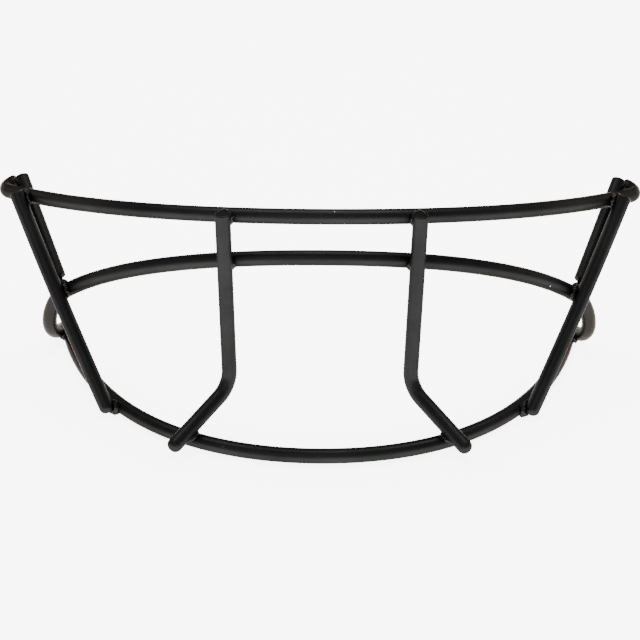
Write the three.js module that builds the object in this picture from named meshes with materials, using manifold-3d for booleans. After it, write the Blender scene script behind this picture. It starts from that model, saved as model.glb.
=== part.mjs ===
// Face guard for an american football helmet: steel rods, cold bent, cut and arc welded, then coated.
// Three bars run across the face. Two inner and two outer uprights lie over their front, and two short
// rear stays close the sides. Millimetres, +X to the right, +Y to the rear, +Z up, standing on the floor.
import * as THREE from 'three';
import { mergeVertices } from 'three/addons/utils/BufferGeometryUtils.js';
import Module from 'manifold-3d';

const wasm = await Module();
wasm.setup();

// ---------- driving dimensions ----------
const ROD = 5.7;             // rod diameter over the coating
const SIDES = 12;            // facets round a rod
const CLEAR = 0.3;           // gap kept between pieces that touch
const BEND_STEP = Math.PI / 12;  // turn between two stations of a bend
const ROD_R = ROD / 2;
const FLOOR_Z = ROD_R;       // centre line of a rod that lies on the floor

// Top bar: one cubic from the middle to the side, then a hook that turns back inwards.
const TOP_MIDDLE = vec(0, 18.9, 90.7);
const TOP_SPREAD = 42.0;                     // how far the middle of the curve stays square to the front
const TOP_PULL = vec(84.8, 46.7, 78.8);      // cubic handle before the side
const TOP_SIDE = vec(117.4, 76.3, 70.5);
const HOOK_REACH = 17.6;                     // from the side point to the hook's corner
const HOOK_RADIUS = 7.2;
const HOOK_RUN = 1.3;                        // straight stretch at the hook's end
const HOOK_TURN = THREE.MathUtils.degToRad(132);   // heading of the hook's end, seen from above
const HOOK_RISE = 0.07;                           // its rise, in radians

// Middle bar: one cubic to the side, then a second that sweeps down behind the outer upright and curls
// its end inwards along the floor.
const MID_MIDDLE = vec(0, 20.1, 72.9);
const MID_SPREAD = 42.0;
const MID_PULL = vec(81.25, 41.8, 57.7);
const MID_SIDE = vec(102.1, 55.35, 38.0);
const TAIL_REACH = 13.4;                     // handle of the second cubic at the side point
const TAIL_PULL = vec(114.7, 70.1, FLOOR_Z);
const TAIL_END = vec(105.8, 90.3, FLOOR_Z);

// Bottom bar: one cubic that lies on the floor. Its ends lap inside the middle bar's tails.
const BOT_MIDDLE = vec(0, -8.4, FLOOR_Z);
const BOT_SPREAD = 44.1;
const BOT_PULL = vec(87.2, 14.3, FLOOR_Z);
const BOT_END = vec(104.0, 79.0, FLOOR_Z);

// Uprights and stays, on the right; each left one is the mirror image.
const INNER_TOP = vec(36.6, 19.0, 91.7);
const INNER_BEND = vec(34.9, 18.5, 17.6);
const INNER_FOOT = vec(56.7, -6.9, 4.4);
const INNER_RADIUS = 10.0;
const OUTER_TOP = vec(120.8, 71.8, 73.6);
const OUTER_FOOT = vec(82.9, 22.5, 1.9);
const OUTER_BOW = 0.6;                       // outward bow at the middle of its length
const STAY_TOP = vec(121.5, 90.7, 71.9);
const STAY_FOOT = vec(104.2, 57.8, 43.2);

// ---------- small helpers ----------
function vec(x, y, z) {
  return new THREE.Vector3(x, y, z);
}

function mirrored(point) {
  return vec(-point.x, point.y, point.z);
}

function along(from, direction, distance) {
  return from.clone().addScaledVector(direction, distance);
}

function direction(from, to) {
  return to.clone().sub(from).normalize();
}

// A rod's centre line, kept as stations that lie close together only in the bends.
// The section frame is carried both ways from the middle station, where it faces the floor.
class RodLine extends THREE.Curve {
  constructor(stations) {
    super();
    this.stations = stations;
  }

  getPoint(t, target = new THREE.Vector3()) {
    const last = this.stations.length - 1;
    const place = Math.min(Math.max(t, 0), 1) * last;
    const i = Math.min(Math.floor(place), last - 1);
    return target.lerpVectors(this.stations[i], this.stations[i + 1], place - i);
  }

  getPointAt(u, target) {
    return this.getPoint(u, target);
  }

  tangentAtStation(i) {
    const s = this.stations;
    const before = i > 0 ? direction(s[i - 1], s[i]) : direction(s[0], s[1]);
    const after = i < s.length - 1 ? direction(s[i], s[i + 1]) : before;
    return before.add(after).normalize();
  }

  computeFrenetFrames(segments) {
    const tangents = this.stations.map((_, i) => this.tangentAtStation(i));
    const normals = new Array(segments + 1);
    const middle = Math.round(segments / 2);
    const seed = Math.abs(tangents[middle].z) > 0.9 ? vec(0, -1, 0) : vec(0, 0, -1);
    normals[middle] = seed.addScaledVector(tangents[middle], -seed.dot(tangents[middle])).normalize();
    const carry = (to, from) => {
      const n = normals[from].clone();
      normals[to] = n.addScaledVector(tangents[to], -n.dot(tangents[to])).normalize();
    };
    for (let i = middle + 1; i <= segments; i++) carry(i, i - 1);
    for (let i = middle - 1; i >= 0; i--) carry(i, i + 1);
    const binormals = normals.map((n, i) => tangents[i].clone().cross(n));
    return { tangents, normals, binormals };
  }
}

// Round section with a flat facet towards the floor side.
function rodSection(radius) {
  const shape = new THREE.Shape();
  for (let i = 0; i < SIDES; i++) {
    const angle = (2 * Math.PI * (i + 0.5)) / SIDES;
    const x = radius * Math.cos(angle);
    const y = radius * Math.sin(angle);
    if (i === 0) shape.moveTo(x, y);
    else shape.lineTo(x, y);
  }
  shape.closePath();
  return shape;
}

function rodGeometry(stations, radius = ROD_R) {
  return new THREE.ExtrudeGeometry(rodSection(radius), {
    steps: stations.length - 1,
    extrudePath: new RodLine(stations),
    curveSegments: 1,
  });
}

// Stations of a circular bend that rounds the corner between two straight runs.
function bend(from, corner, to, radius) {
  const u = direction(corner, from);
  const v = direction(corner, to);
  const half = u.angleTo(v) / 2;
  const setback = radius / Math.tan(half);
  const start = along(corner, u, setback);
  const middle = u.clone().add(v).normalize();
  const centre = along(corner, middle, radius / Math.sin(half));
  const e1 = direction(centre, start);
  const e2 = u.clone().negate();
  const sweep = Math.PI - 2 * half;
  const steps = Math.ceil(sweep / BEND_STEP);
  const stations = [];
  for (let i = 0; i <= steps; i++) {
    const a = (sweep * i) / steps;
    stations.push(along(along(centre, e1, radius * Math.cos(a)), e2, radius * Math.sin(a)));
  }
  return stations;
}

// Middle-to-side cubic that leaves the middle square to the front.
function sweepOut(middle, spread, pull, side, steps) {
  const handle = along(middle, vec(1, 0, 0), spread);
  return new THREE.CubicBezierCurve3(middle, handle, pull, side).getSpacedPoints(steps);
}

// Whole bar from its right half, which starts in the middle.
function bothSides(half) {
  return [...half.slice(1).map(mirrored).reverse(), ...half];
}

// ---------- centre lines ----------
function topBarLine() {
  const half = sweepOut(TOP_MIDDLE, TOP_SPREAD, TOP_PULL, TOP_SIDE, 10);
  const out = direction(TOP_PULL, TOP_SIDE);
  const corner = along(TOP_SIDE, out, HOOK_REACH);
  const back = vec(
    Math.cos(HOOK_TURN) * Math.cos(HOOK_RISE),
    Math.sin(HOOK_TURN) * Math.cos(HOOK_RISE),
    Math.sin(HOOK_RISE),
  );
  const hook = bend(TOP_SIDE, corner, along(corner, back, 20), HOOK_RADIUS);
  return bothSides([...half, ...hook, along(hook.at(-1), back, HOOK_RUN)]);
}

function middleBarLine() {
  const half = sweepOut(MID_MIDDLE, MID_SPREAD, MID_PULL, MID_SIDE, 11);
  const handle = along(MID_SIDE, direction(MID_PULL, MID_SIDE), TAIL_REACH);
  const tail = new THREE.CubicBezierCurve3(MID_SIDE, handle, TAIL_PULL, TAIL_END).getSpacedPoints(8);
  return bothSides([...half, ...tail.slice(1)]);
}

function bottomBarLine() {
  return bothSides(sweepOut(BOT_MIDDLE, BOT_SPREAD, BOT_PULL, BOT_END, 16));
}

function innerUprightLine() {
  return [INNER_TOP, ...bend(INNER_TOP, INNER_BEND, INNER_FOOT, INNER_RADIUS), INNER_FOOT];
}

function outerUprightLine() {
  const steps = 6;
  const outward = vec(1, 0, 0);
  const stations = [];
  for (let i = 0; i <= steps; i++) {
    const t = i / steps;
    const straight = new THREE.Vector3().lerpVectors(OUTER_TOP, OUTER_FOOT, t);
    stations.push(along(straight, outward, 4 * OUTER_BOW * t * (1 - t)));
  }
  return stations;
}

const LINES = {
  top_bar: topBarLine(),
  middle_bar: middleBarLine(),
  bottom_bar: bottomBarLine(),
};
const SIDE_LINES = {
  inner_upright: innerUprightLine(),
  outer_upright: outerUprightLine(),
  rear_stay: [STAY_TOP, STAY_FOOT],
};
for (const [name, line] of Object.entries(SIDE_LINES)) {
  LINES[`${name}_left`] = line.map(mirrored);
  LINES[`${name}_right`] = line;
}

// ---------- weld beads ----------
function toSolid(geometry) {
  const plain = geometry.clone();
  plain.deleteAttribute('normal');
  plain.deleteAttribute('uv');
  const merged = mergeVertices(plain, 1e-4);
  return new wasm.Manifold(new wasm.Mesh({
    numProp: 3,
    vertProperties: Float32Array.from(merged.attributes.position.array),
    triVerts: Uint32Array.from(merged.index.array),
  }));
}

function toGeometry(solid) {
  const mesh = solid.getMesh();
  const geometry = new THREE.BufferGeometry();
  geometry.setAttribute('position', new THREE.BufferAttribute(mesh.vertProperties, 3));
  geometry.setIndex(new THREE.BufferAttribute(mesh.triVerts, 1));
  geometry.computeVertexNormals();
  return geometry;
}

const KEEP_OUT = {};
for (const [name, line] of Object.entries(LINES)) {
  KEEP_OUT[name] = toSolid(rodGeometry(line, ROD_R + CLEAR));
}

// No bead hangs lower than the rod that the guard stands on.
const underFloor = new THREE.BoxGeometry(400, 400, 20);
underFloor.translate(0, 0, CLEAR - 10);
const UNDER_FLOOR = toSolid(underFloor);

// Where two centre lines pass closest, with the way each one runs there.
function closest(lineA, lineB) {
  const samples = (line) => {
    const out = [];
    for (let i = 0; i < line.length - 1; i++) {
      for (let k = 0; k < 24; k++) {
        const point = new THREE.Vector3().lerpVectors(line[i], line[i + 1], k / 24);
        out.push({ point, way: direction(line[i], line[i + 1]) });
      }
    }
    out.push({ point: line.at(-1), way: out.at(-1).way });
    return out;
  };
  let best = { distance: Infinity };
  const others = samples(lineB);
  for (const a of samples(lineA)) {
    for (const b of others) {
      const distance = a.point.distanceTo(b.point);
      if (distance < best.distance) best = { distance, a, b };
    }
  }
  return best;
}

// A bead is a squashed ball of metal where two rods pass closest, cut back from every rod and from
// the beads made before it. size: reach along the first rod, reach across it, and from rod to rod.
const laidBeads = [];

function bead(first, second, size, sign) {
  const onSide = LINES[first].filter((point) => point.x * sign > 0);
  const near = closest(onSide, LINES[second]);
  const middle = new THREE.Vector3().lerpVectors(near.a.point, near.b.point, 0.5);
  const through = direction(near.a.point, near.b.point);
  const run = near.a.way.clone().addScaledVector(through, -near.a.way.dot(through)).normalize();
  const across = through.clone().cross(run);
  const ball = (spare) => {
    const geometry = new THREE.SphereGeometry(1, 12, 8);
    const placing = new THREE.Matrix4().makeBasis(run, across, through);
    placing.scale(vec(size[0] + spare, size[1] + spare, size[2] + spare)).setPosition(middle);
    return toSolid(geometry.applyMatrix4(placing));
  };
  let solid = ball(0).subtract(UNDER_FLOOR);
  for (const keepOut of Object.values(KEEP_OUT)) solid = solid.subtract(keepOut);
  for (const laid of laidBeads) solid = solid.subtract(laid);
  laidBeads.push(ball(CLEAR));
  const pieces = solid.decompose().sort((p, q) => q.volume() - p.volume());
  return toGeometry(pieces[0]);
}

// ---------- the assembly ----------
const coated = { color: 0x1d1e20, roughness: 0.42, metalness: 0.0 };
const welded = { color: 0x1a1b1d, roughness: 0.5, metalness: 0.0 };

function piece(name, geometry, look) {
  const mesh = new THREE.Mesh(geometry, new THREE.MeshStandardMaterial(look));
  mesh.name = name;
  return mesh;
}

const assembly = new THREE.Group();
for (const [name, line] of Object.entries(LINES)) {
  assembly.add(piece(name, rodGeometry(line), coated));
}

const CROSSING = [3.7, 3.7, 2.4];
const LAP = [2.5, 2.7, 2.2];
for (const [side, sign] of [['left', -1], ['right', 1]]) {
  const inner = `inner_upright_${side}`;
  const outer = `outer_upright_${side}`;
  const stay = `rear_stay_${side}`;
  const beads = {
    top_inner: [inner, 'top_bar', CROSSING],
    middle_inner: [inner, 'middle_bar', CROSSING],
    bottom_inner: [inner, 'bottom_bar', CROSSING],
    top_outer: [outer, 'top_bar', CROSSING],
    middle_outer: [outer, 'middle_bar', CROSSING],
    bottom_outer: [outer, 'bottom_bar', CROSSING],
    top_stay: [stay, 'top_bar', LAP],
    middle_stay: [stay, 'middle_bar', LAP],
    bottom_middle: ['middle_bar', 'bottom_bar', LAP],
  };
  for (const [place, [first, second, size]] of Object.entries(beads)) {
    assembly.add(piece(`weld_${place}_${side}`, bead(first, second, size, sign), welded));
  }
}

// Stand the assembly on the floor with its box centred over the origin.
const box = new THREE.Box3().setFromObject(assembly);
const centre = box.getCenter(new THREE.Vector3());
assembly.position.set(-centre.x, -centre.y, -box.min.z);

export default assembly;
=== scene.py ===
"""Looks of a welded wire face guard: smooth bent rods, hand-laid weld beads and a satin black coat.

Metres, row frame: +X right, +Y to the rear, +Z up, the floor at zero.
"""

import math
import random

import bmesh
import bpy
from mathutils import Matrix, Vector, noise
from mathutils.bvhtree import BVHTree


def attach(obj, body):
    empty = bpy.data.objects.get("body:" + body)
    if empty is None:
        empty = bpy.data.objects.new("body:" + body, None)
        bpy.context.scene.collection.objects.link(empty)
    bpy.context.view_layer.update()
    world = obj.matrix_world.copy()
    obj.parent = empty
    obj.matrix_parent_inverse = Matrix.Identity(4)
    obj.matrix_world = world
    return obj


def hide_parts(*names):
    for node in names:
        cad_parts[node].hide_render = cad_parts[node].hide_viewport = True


MM = 0.001

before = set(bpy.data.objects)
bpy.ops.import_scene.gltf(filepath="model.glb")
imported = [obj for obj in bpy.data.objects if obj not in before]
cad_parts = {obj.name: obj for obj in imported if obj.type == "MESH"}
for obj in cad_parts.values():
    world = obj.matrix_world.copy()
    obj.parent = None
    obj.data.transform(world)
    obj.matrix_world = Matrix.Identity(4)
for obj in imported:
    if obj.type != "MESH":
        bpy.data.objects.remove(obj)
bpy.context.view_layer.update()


# ---------- materials ----------
COAT_GREY = [(0.3, 0.008), (0.7, 0.0125)]  # cloud value and grey of the coat's darkest and palest parts
GRAZING_TINT = (0.52, 0.505, 0.49, 1)  # how much the coat mirrors at a glancing angle
SPECK_COLOUR = (0.5, 0.5, 0.48, 1)
SPECK_EDGE = [(0.035, 1.0), (0.075, 0.0)]  # a speck fades out over these distances from its middle
SPECK_PLACES = [(0.66, 0.0), (0.7, 1.0)]  # specks come only where the clouds are this pale
ROD_GLOSS = 0.44
WELD_GLOSS = 0.30
MIX_FACTOR, MIX_FIRST, MIX_SECOND = 0, 6, 7  # a colour mix's input sockets
MIX_RESULT = 2  # and its output socket


def node_graph(name):
    """A new material, its node tree and its surface shader."""
    material = bpy.data.materials.new(name)
    material.use_nodes = True
    tree = material.node_tree
    return material, tree, tree.nodes["Principled BSDF"]


def add_node(tree, kind, inputs=None, **settings):
    """A node with its settings, and with values on the named inputs."""
    made = tree.nodes.new(kind)
    for key, value in settings.items():
        setattr(made, key, value)
    for key, value in (inputs or {}).items():
        made.inputs[key].default_value = value
    return made


def ramp(tree, source, stops):
    """The source's value turned into greys, from (value, grey) stops."""
    made = tree.nodes.new("ShaderNodeValToRGB")
    while len(made.color_ramp.elements) < len(stops):
        made.color_ramp.elements.new(0.5)
    for element, (place, grey) in zip(made.color_ramp.elements, stops):
        element.position = place
        element.color = (grey, grey, grey, 1)
    tree.links.new(source, made.inputs[0])
    return made.outputs[0]


def coat(name, peel, lumps, gloss):
    """Satin black powder coat: orange peel, faint handling marks and a few pale specks."""
    material, tree, surface = node_graph(name)
    link = tree.links.new
    place = add_node(tree, "ShaderNodeTexCoord").outputs["Object"]

    def clouds(scale, detail=2.0, roughness=0.5):
        settings = {"Scale": scale, "Detail": detail, "Roughness": roughness}
        made = add_node(tree, "ShaderNodeTexNoise", settings)
        link(place, made.inputs["Vector"])
        return made.outputs[0]

    tone = ramp(tree, clouds(38, 4), COAT_GREY)
    specks = add_node(tree, "ShaderNodeTexVoronoi", {"Scale": 240.0, "Randomness": 1.0})
    link(place, specks.inputs["Vector"])
    dots = ramp(tree, specks.outputs["Distance"], SPECK_EDGE)
    rare = ramp(tree, clouds(75, 1), SPECK_PLACES)
    both = add_node(tree, "ShaderNodeMath", operation="MULTIPLY")
    link(dots, both.inputs[0])
    link(rare, both.inputs[1])
    paint = add_node(tree, "ShaderNodeMix", data_type="RGBA")
    paint.inputs[MIX_SECOND].default_value = SPECK_COLOUR
    link(both.outputs[0], paint.inputs[MIX_FACTOR])
    link(tone, paint.inputs[MIX_FIRST])
    link(paint.outputs[MIX_RESULT], surface.inputs["Base Color"])

    rubbed = ramp(tree, clouds(120, 5, 0.65), [(0.3, gloss - 0.05), (0.72, gloss + 0.07)])
    link(rubbed, surface.inputs["Roughness"])

    coarse = add_node(tree, "ShaderNodeBump", {"Strength": 0.35, "Distance": lumps})
    link(clouds(320, 3), coarse.inputs["Height"])
    fine = add_node(tree, "ShaderNodeBump", {"Strength": 0.5, "Distance": peel})
    link(clouds(1500, 2), fine.inputs["Height"])
    link(coarse.outputs[0], fine.inputs["Normal"])
    link(fine.outputs[0], surface.inputs["Normal"])
    surface.inputs["Metallic"].default_value = 1.0
    surface.inputs["Specular Tint"].default_value = GRAZING_TINT
    return material


MATERIALS = {
    "coated_rod": coat("satin_black_coat", 0.035 * MM, 0.10 * MM, ROD_GLOSS),
    "coated_weld": coat("satin_black_coat_on_weld", 0.05 * MM, 0.35 * MM, WELD_GLOSS),
}


def finish_piece(mesh, name, slot, node):
    """Make the mesh a smooth-shaded piece that stands for its CAD node."""
    bmesh.ops.recalc_face_normals(mesh, faces=mesh.faces)
    data = bpy.data.meshes.new(name)
    mesh.to_mesh(data)
    mesh.free()
    data.polygons.foreach_set("use_smooth", [True] * len(data.polygons))
    data.materials.append(MATERIALS[slot])
    piece = bpy.data.objects.new(name, data)
    bpy.context.collection.objects.link(piece)
    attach(piece, "root")
    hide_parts(node)


# ---------- rods ----------
CAD_SIDES = 12  # corners round a CAD rod
ROD_RADIUS = 2.95 * MM  # the bent wire and its coat
ROUND_SIDES = 40
STEP = 0.7 * MM  # spacing of the rings along a finished rod
SAWN_EDGE = 0.55 * MM  # how far the coat rounds a sawn end's edge
BLUNT_EDGE = 2.6 * MM  # the same at the uprights' lower ends, which are ground blunt
BLUNT_RODS = (
    "inner_upright_left",
    "inner_upright_right",
    "outer_upright_left",
    "outer_upright_right",
)
EDGE_STEPS = 8
END_CROWN = ((0.02 * MM, 0.66), (0.03 * MM, 0.33))  # rise and share of the radius, on an end's flat
SAME_PLANE = 0.99999  # least cosine between the normals of two faces of one flat patch
MERGE = 1e-6


def first_cap(mesh):
    """The corners of one sawn end: a flat patch that a whole ring of corners belongs to."""
    for seed in mesh.faces:
        patch, queue = {seed}, [seed]
        while queue:
            for edge in queue.pop().edges:
                for face in edge.link_faces:
                    if face not in patch and face.normal.dot(seed.normal) > SAME_PLANE:
                        patch.add(face)
                        queue.append(face)
        corners = {v for face in patch for v in face.verts}
        if len(corners) == CAD_SIDES:
            return corners
    raise ValueError("no sawn end found")


def ring_centres(node):
    """The middle of every ring along a swept rod, from one end to the other."""
    mesh = bmesh.new()
    mesh.from_mesh(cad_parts[node].data)
    bmesh.ops.remove_doubles(mesh, verts=mesh.verts, dist=MERGE)
    mesh.normal_update()
    ring = first_cap(mesh)
    seen = set(ring)
    centres = []
    while ring:
        centres.append(sum((v.co for v in ring), Vector()) / len(ring))
        ring = {e.other_vert(v) for v in ring for e in v.link_edges} - seen
        seen |= ring
    mesh.free()
    return centres


def smooth_path(stations):
    """A closely stepped curve through the stations; long straight runs stay straight."""
    spans = [b - a for a, b in zip(stations, stations[1:])]
    ways = [spans[0].normalized()]
    for before, after in zip(spans, spans[1:]):
        ways.append((before * before.length + after * after.length).normalized())
    ways.append(spans[-1].normalized())
    path = [stations[0].copy()]
    for i, span in enumerate(spans):
        length = span.length
        steps = max(2, math.ceil(length / STEP))
        start, end = stations[i], stations[i + 1]
        for k in range(1, steps + 1):
            t = k / steps
            path.append(
                start * (2 * t**3 - 3 * t**2 + 1)
                + ways[i] * (length * (t**3 - 2 * t**2 + t))
                + end * (3 * t**2 - 2 * t**3)
                + ways[i + 1] * (length * (t**3 - t**2))
            )
    return path


def end_rings(tip, way, edge):
    """Middles and radii of the rings that round off a rod's end, from its side to its face."""
    rings = []
    for k in range(EDGE_STEPS + 1):
        angle = math.pi / 2 * k / EDGE_STEPS
        centre = tip + way * (edge * (math.sin(angle) - 1))
        rings.append((centre, ROD_RADIUS - edge * (1 - math.cos(angle))))
    flat = rings[-1][1]
    return rings + [(tip + way * rise, flat * share) for rise, share in END_CROWN]


def rod(node):
    """A smooth round rod along the CAD rod's own line."""
    path = smooth_path(ring_centres(node))
    low_end = 0 if path[0].z < path[-1].z else 1
    blunt = node in BLUNT_RODS
    edges = [BLUNT_EDGE if blunt and end == low_end else SAWN_EDGE for end in (0, 1)]
    start_way = (path[0] - path[1]).normalized()
    end_way = (path[-1] - path[-2]).normalized()
    body = [
        p for p in path if (p - path[0]).length > edges[0] and (p - path[-1]).length > edges[1]
    ]
    head = end_rings(path[0], start_way, edges[0])[::-1]
    tail = end_rings(path[-1], end_way, edges[1])
    rings = head + [(p, ROD_RADIUS) for p in body] + tail

    mesh = bmesh.new()
    way = -start_way
    side = way.orthogonal().normalized()
    turns = [2 * math.pi * k / ROUND_SIDES for k in range(ROUND_SIDES)]
    loops = []
    for i, (centre, radius) in enumerate(rings):
        if len(head) <= i < len(head) + len(body) - 1:
            way = (rings[i + 1][0] - centre).normalized()
        side = (side - way * side.dot(way)).normalized()
        across = way.cross(side)
        loops.append([
            mesh.verts.new(centre + (side * math.cos(a) + across * math.sin(a)) * radius)
            for a in turns
        ])
    for low, high in zip(loops, loops[1:]):
        for k in range(ROUND_SIDES):
            n = (k + 1) % ROUND_SIDES
            mesh.faces.new((low[k], low[n], high[n], high[k]))
    mesh.faces.new(list(reversed(loops[0])))
    mesh.faces.new(loops[-1])
    finish_piece(mesh, f"{node}_coated", "coated_rod", node)


# ---------- weld beads ----------
BEAD_VOXEL = 0.28 * MM
BEAD_SHRINK = 0.88
BEAD_SPREAD = 0.30 * MM  # closes the gap that the CAD pieces keep
SOFTENING = 0.6
SOFTENING_PASSES = 5
LUMPS = 7  # blobs half sunk in a bead
LUMP_SINK = 0.82  # how far out from the bead's middle a blob sits
LUMP_RADII = (0.4, 0.75)  # mm
SPATTER = 3  # stray drops near a bead
SPATTER_REACH = (1.0, 1.12)
SPATTER_RADII = (0.26, 0.42)  # mm
RIPPLE_DEPTH = 0.24 * MM
RIPPLE_SIZE = 1.5 * MM
FINE_STRENGTH = 0.5  # of the finer ripple, against the coarse one
FINE_FREQUENCY = 2.3
NOISE_SPAN = 50  # each bead takes its ripple from its own place within this much noise
FLOOR_CLEARANCE = 0.1 * MM
WIDE_GAP = 0.5 * MM  # a bead this far from a rod gets a drop that bridges the gap
DROP_OVERLAP = 0.45 * MM


def remeshed(mesh):
    """One closed skin round every overlapping lump in mesh."""
    data = bpy.data.meshes.new("lumps")
    mesh.to_mesh(data)
    mesh.free()
    holder = bpy.data.objects.new("lumps", data)
    bpy.context.collection.objects.link(holder)
    skin = holder.modifiers.new("skin", "REMESH")
    skin.mode = "VOXEL"
    skin.voxel_size = BEAD_VOXEL
    soften = holder.modifiers.new("soften", "SMOOTH")
    soften.factor = SOFTENING
    soften.iterations = SOFTENING_PASSES
    evaluated = holder.evaluated_get(bpy.context.evaluated_depsgraph_get())
    out = bmesh.new()
    out.from_mesh(evaluated.to_mesh())
    evaluated.to_mesh_clear()
    bpy.data.objects.remove(holder)
    bpy.data.meshes.remove(data)
    return out


def add_ball(mesh, centre, radius):
    place = Matrix.Translation(centre)
    bmesh.ops.create_icosphere(mesh, subdivisions=3, radius=radius, matrix=place)


def rod_skins():
    """A search tree over each CAD rod's skin."""
    skins = {}
    for node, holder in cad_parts.items():
        if not node.startswith("weld_"):
            mesh = bmesh.new()
            mesh.from_mesh(holder.data)
            skins[node] = BVHTree.FromBMesh(mesh)
            mesh.free()
    return skins


ROD_SKINS = rod_skins()


def shortest_gap(skin, corners):
    """The least distance from the corners to a rod's skin, and the two points it lies between."""
    best = None
    for corner in corners:
        place, _, _, distance = skin.find_nearest(corner)
        if best is None or distance < best[0]:
            best = (distance, corner, place)
    return best


def bridge_wide_gaps(mesh, corners):
    """Add a drop between the bead and either of its two rods that it doesn't reach."""
    gaps = [shortest_gap(ROD_SKINS[name], corners) for name in sorted(ROD_SKINS)]
    for gap, near, far in sorted(gaps, key=lambda found: found[0])[:2]:
        if gap > WIDE_GAP:
            add_ball(mesh, (near + far) / 2, gap / 2 + DROP_OVERLAP)


def weld(node):
    """A lumpy bead in the CAD bead's place, with a few drops of spatter beside it."""
    dice = random.Random(node)
    mesh = bmesh.new()
    mesh.from_mesh(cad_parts[node].data)
    bmesh.ops.remove_doubles(mesh, verts=mesh.verts, dist=MERGE)
    middle = sum((v.co for v in mesh.verts), Vector()) / len(mesh.verts)
    for v in mesh.verts:
        v.co = middle.lerp(v.co, BEAD_SHRINK)
    corners = [v.co.copy() for v in mesh.verts]
    if "_stay_" in node:
        bridge_wide_gaps(mesh, corners)
    rim = sorted(corners, key=lambda p: (p - middle).length)[len(corners) // 2 :]
    for _ in range(LUMPS):
        centre = middle.lerp(dice.choice(rim), LUMP_SINK)
        add_ball(mesh, centre, dice.uniform(*LUMP_RADII) * MM)
    for _ in range(SPATTER):
        away = (dice.choice(rim) - middle) * dice.uniform(*SPATTER_REACH)
        add_ball(mesh, middle + away, dice.uniform(*SPATTER_RADII) * MM)
    skin = remeshed(mesh)
    skin.normal_update()
    shift = Vector([dice.uniform(0, NOISE_SPAN) for _ in range(3)])
    moves = []
    for v in skin.verts:
        coarse = noise.noise(v.co / RIPPLE_SIZE + shift)
        fine = noise.noise(v.co * FINE_FREQUENCY / RIPPLE_SIZE + shift)
        ripple = coarse + FINE_STRENGTH * fine
        moves.append(v.normal * (BEAD_SPREAD + RIPPLE_DEPTH * ripple))
    for v, move in zip(skin.verts, moves):
        v.co += move
        v.co.z = max(v.co.z, FLOOR_CLEARANCE)
    finish_piece(skin, f"{node}_laid", "coated_weld", node)


for node in sorted(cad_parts):
    if node.startswith("weld_"):
        weld(node)
    else:
        rod(node)


# ---------- studio ----------
FLOOR_SIZE = 24
FLOOR_DROP = 0.25 * MM  # the rods' coat reaches a little below zero
FLOOR_GLOW = 6.0
SKY_COLOUR = (0.98, 0.98, 1.0, 1)
SKY_STRENGTH = 0.9
COOL = (0.95, 0.97, 1.0)
WARM = (1.0, 0.97, 0.94)


def floor_paint():
    """Matt white that glows, like a sheet of paper lit from all round."""
    material, _, surface = node_graph("studio_floor")
    surface.inputs["Base Color"].default_value = (0.93, 0.93, 0.93, 1)
    surface.inputs["Roughness"].default_value = 0.9
    surface.inputs["Specular IOR Level"].default_value = 0.0
    surface.inputs["Emission Color"].default_value = (1, 1, 1, 1)
    surface.inputs["Emission Strength"].default_value = FLOOR_GLOW
    return material


def softbox(name, place, aim, size, watts, colour):
    """A rectangular lamp at place, turned towards aim."""
    lamp = bpy.data.lights.new(name, "AREA")
    lamp.shape = "RECTANGLE"
    lamp.size, lamp.size_y = size
    lamp.energy = watts
    lamp.color = colour
    holder = bpy.data.objects.new(name, lamp)
    bpy.context.collection.objects.link(holder)
    holder.location = place
    holder.rotation_euler = (Vector(aim) - Vector(place)).to_track_quat("-Z", "Y").to_euler()


bpy.ops.mesh.primitive_plane_add(size=FLOOR_SIZE, location=(0, 0, -FLOOR_DROP))
floor = bpy.context.object
floor.name = "studio_floor"
floor.data.materials.append(floor_paint())

world = bpy.data.worlds.new("studio")
bpy.context.scene.world = world
world.use_nodes = True
sky = world.node_tree.nodes["Background"]
sky.inputs["Color"].default_value = SKY_COLOUR
sky.inputs["Strength"].default_value = SKY_STRENGTH

softbox("top_box", (0, 0.25, 0.95), (0, 0, 0.05), (0.9, 0.3), 13.0, COOL)
softbox("front_box", (-0.25, -0.9, 0.75), (0, 0, 0.05), (0.25, 0.5), 2.5, COOL)
softbox("left_wall", (-1.1, 0.75, 0.3), (0, 0, 0.06), (0.9, 0.7), 10.0, WARM)
softbox("right_wall", (1.1, 0.75, 0.3), (0, 0, 0.06), (0.9, 0.7), 10.0, WARM)


# ---------- camera ----------
AIM = Vector((-0.0004, -0.0424, 0.0575))
AZIMUTH = math.radians(-0.5)
ELEVATION = math.radians(30.0)
DISTANCE = 0.70
ROLL = math.radians(0.6)
LENS_MM = 106.7
SENSOR_MM = 36

towards_camera = Vector((
    math.sin(AZIMUTH) * math.cos(ELEVATION),
    -math.cos(AZIMUTH) * math.cos(ELEVATION),
    math.sin(ELEVATION),
))
lens = bpy.data.cameras.new("camera")
lens.lens = LENS_MM
lens.sensor_width = SENSOR_MM
camera = bpy.data.objects.new("camera", lens)
bpy.context.collection.objects.link(camera)
camera.rotation_mode = "QUATERNION"
camera.location = AIM + towards_camera * DISTANCE
camera.rotation_quaternion = (
    (-towards_camera).to_track_quat("-Z", "Y") @ Matrix.Rotation(ROLL, 3, "Z").to_quaternion()
)
bpy.context.scene.camera = camera
